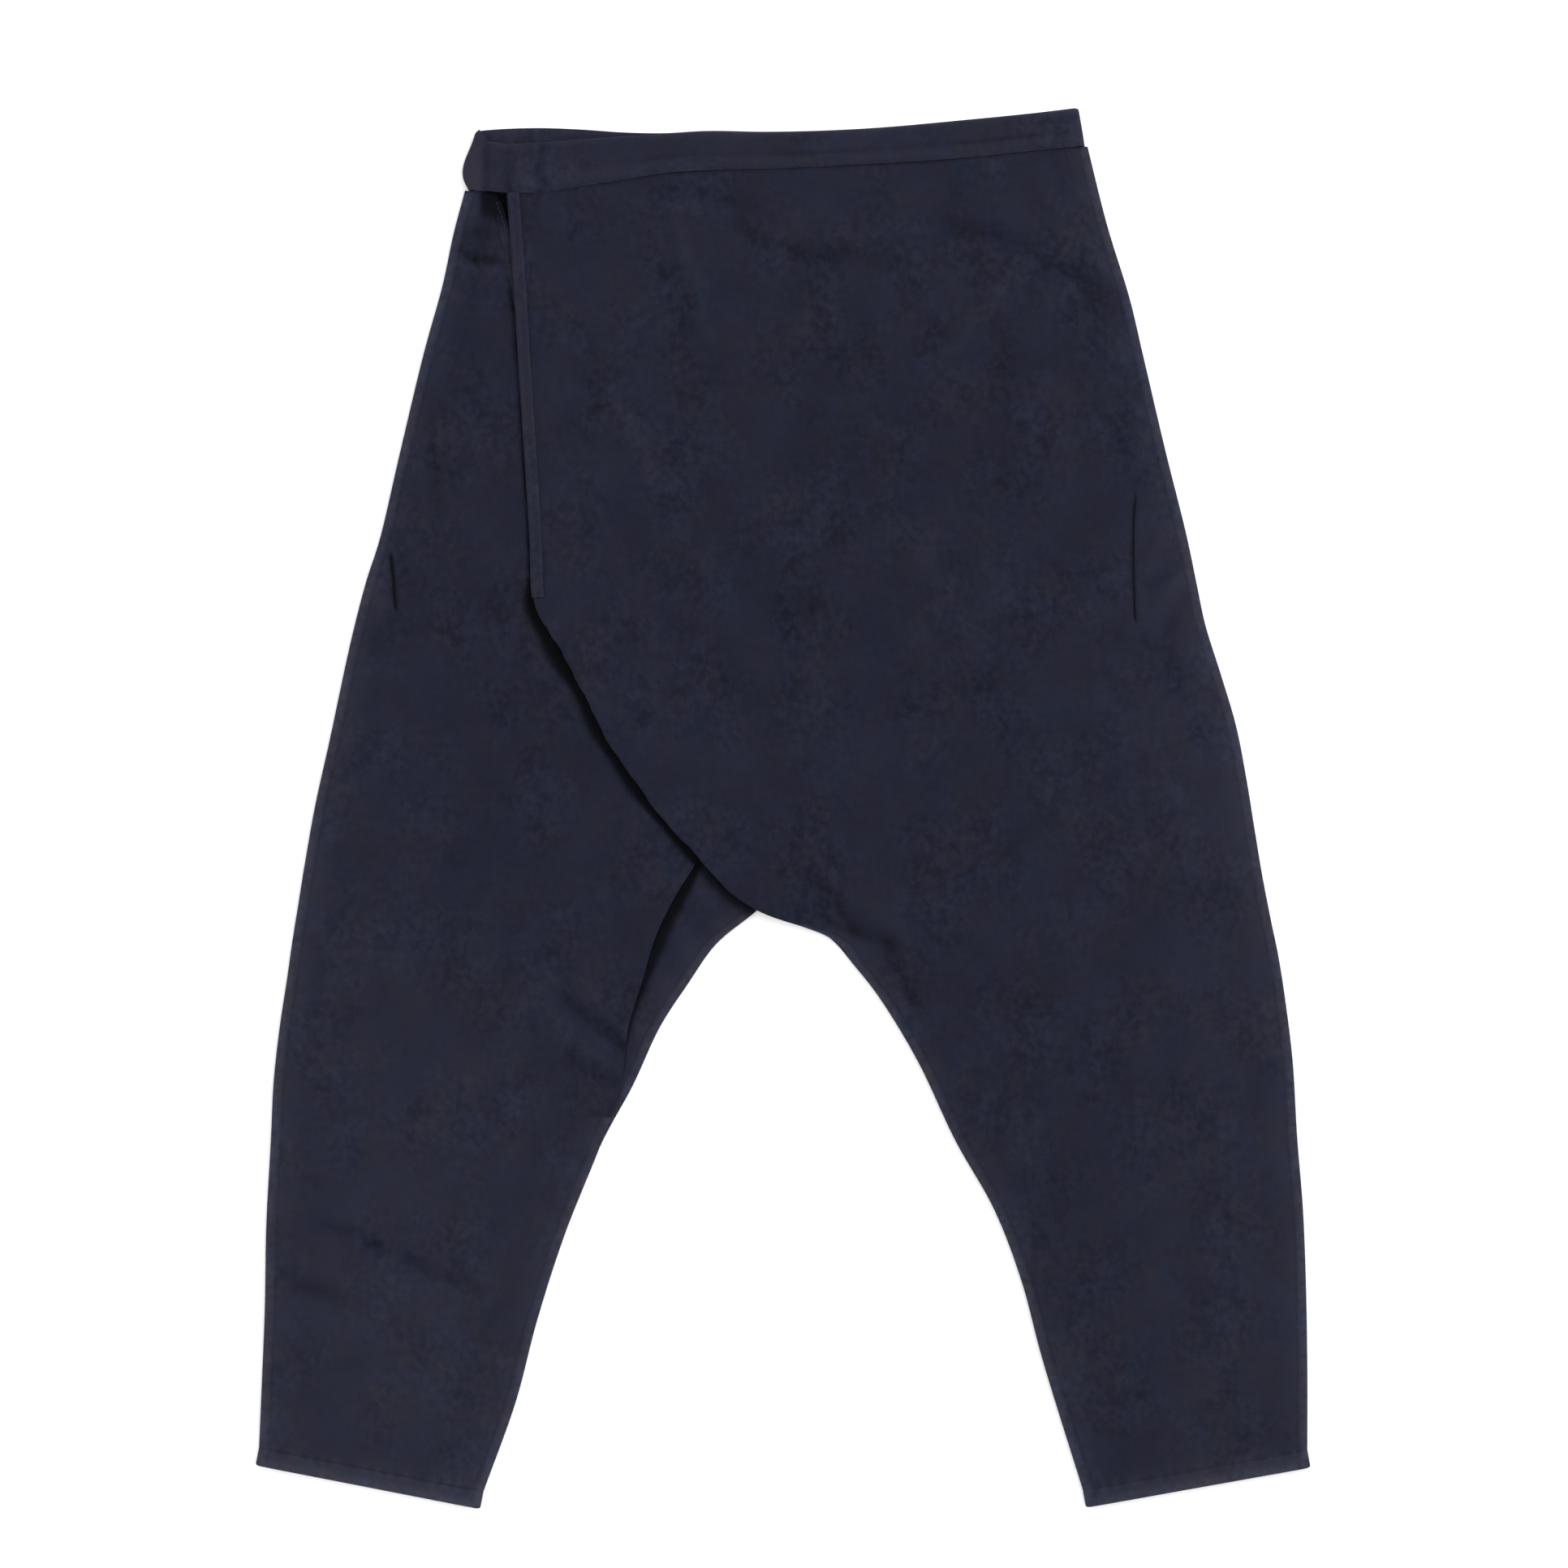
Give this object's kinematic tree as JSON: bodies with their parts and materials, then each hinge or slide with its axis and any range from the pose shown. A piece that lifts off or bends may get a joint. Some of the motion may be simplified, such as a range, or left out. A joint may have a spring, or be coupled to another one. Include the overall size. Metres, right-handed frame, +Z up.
{
  "type": "wrap-front cropped trousers",
  "caption": "Dark navy cotton trousers laid flat, with a wide wrap front, low crotch, tapered legs, a plain folded waistband and bound side pockets",
  "frame": {"origin": "on the floor, under the middle of the trousers' bounding box as they lie", "axes": "+Y points to the waistband, +X to the wearer's left leg, +Z up from the floor"},
  "size_m": [0.7262, 0.965, 0.0132],
  "materials": {
    "navy_cotton": "matt plain-weave cotton",
    "navy_hem": "matt plain-weave cotton, doubled and stitched",
    "navy_band": "matt plain-weave cotton, doubled and pressed",
    "navy_binding": "matt cotton binding, pressed"
  },
  "bodies": {
    "root": {"back_right": "navy_cotton", "back_left": "navy_cotton", "front_right": "navy_cotton", "gusset_right": "navy_cotton", "front_wrap": "navy_cotton", "hem_right": "navy_hem", "hem_left": "navy_hem", "waistband": "navy_band", "placket_binding": "navy_binding", "placket_under_binding": "navy_binding"}
  },
  "joints": []
}
